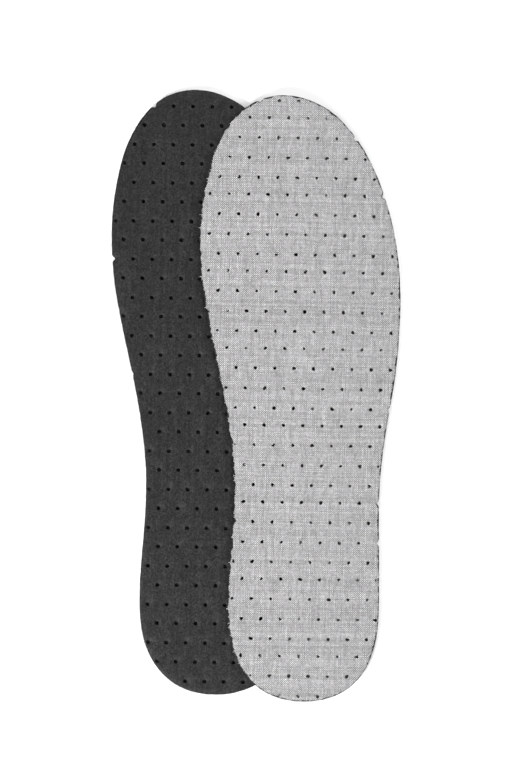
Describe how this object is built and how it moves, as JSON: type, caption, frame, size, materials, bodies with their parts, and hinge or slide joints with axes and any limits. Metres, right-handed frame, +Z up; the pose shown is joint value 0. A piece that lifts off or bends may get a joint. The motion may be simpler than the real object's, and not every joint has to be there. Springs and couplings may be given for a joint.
{
  "type": "cushioned insole pair",
  "caption": "Thin cut-to-shape cushioned insoles, left and right, of perforated foam with a woven cover; the left lies face down and the right lies over it, face up.",
  "frame": {"origin": "middle of the pair's footprint, on the surface that it lies on", "axes": "+Z up, +Y towards the toes, +X from the left insole to the right one"},
  "size_m": [0.1348, 0.285, 0.0075],
  "materials": {
    "foam": "matt latex-like foam with open cells",
    "cover": "plain-woven chambray of pale and dark grey yarn"
  },
  "bodies": {
    "left_insole": {"left_foam_base": "foam", "left_fabric_cover": "cover"},
    "right_insole": {"right_foam_base": "foam", "right_fabric_cover": "cover"}
  },
  "joints": [
    {"name": "right_insole_lift", "type": "slide", "parent": "left_insole", "child": "right_insole", "axis": [0, 0, 1], "range_m": [0, 0.05]}
  ]
}
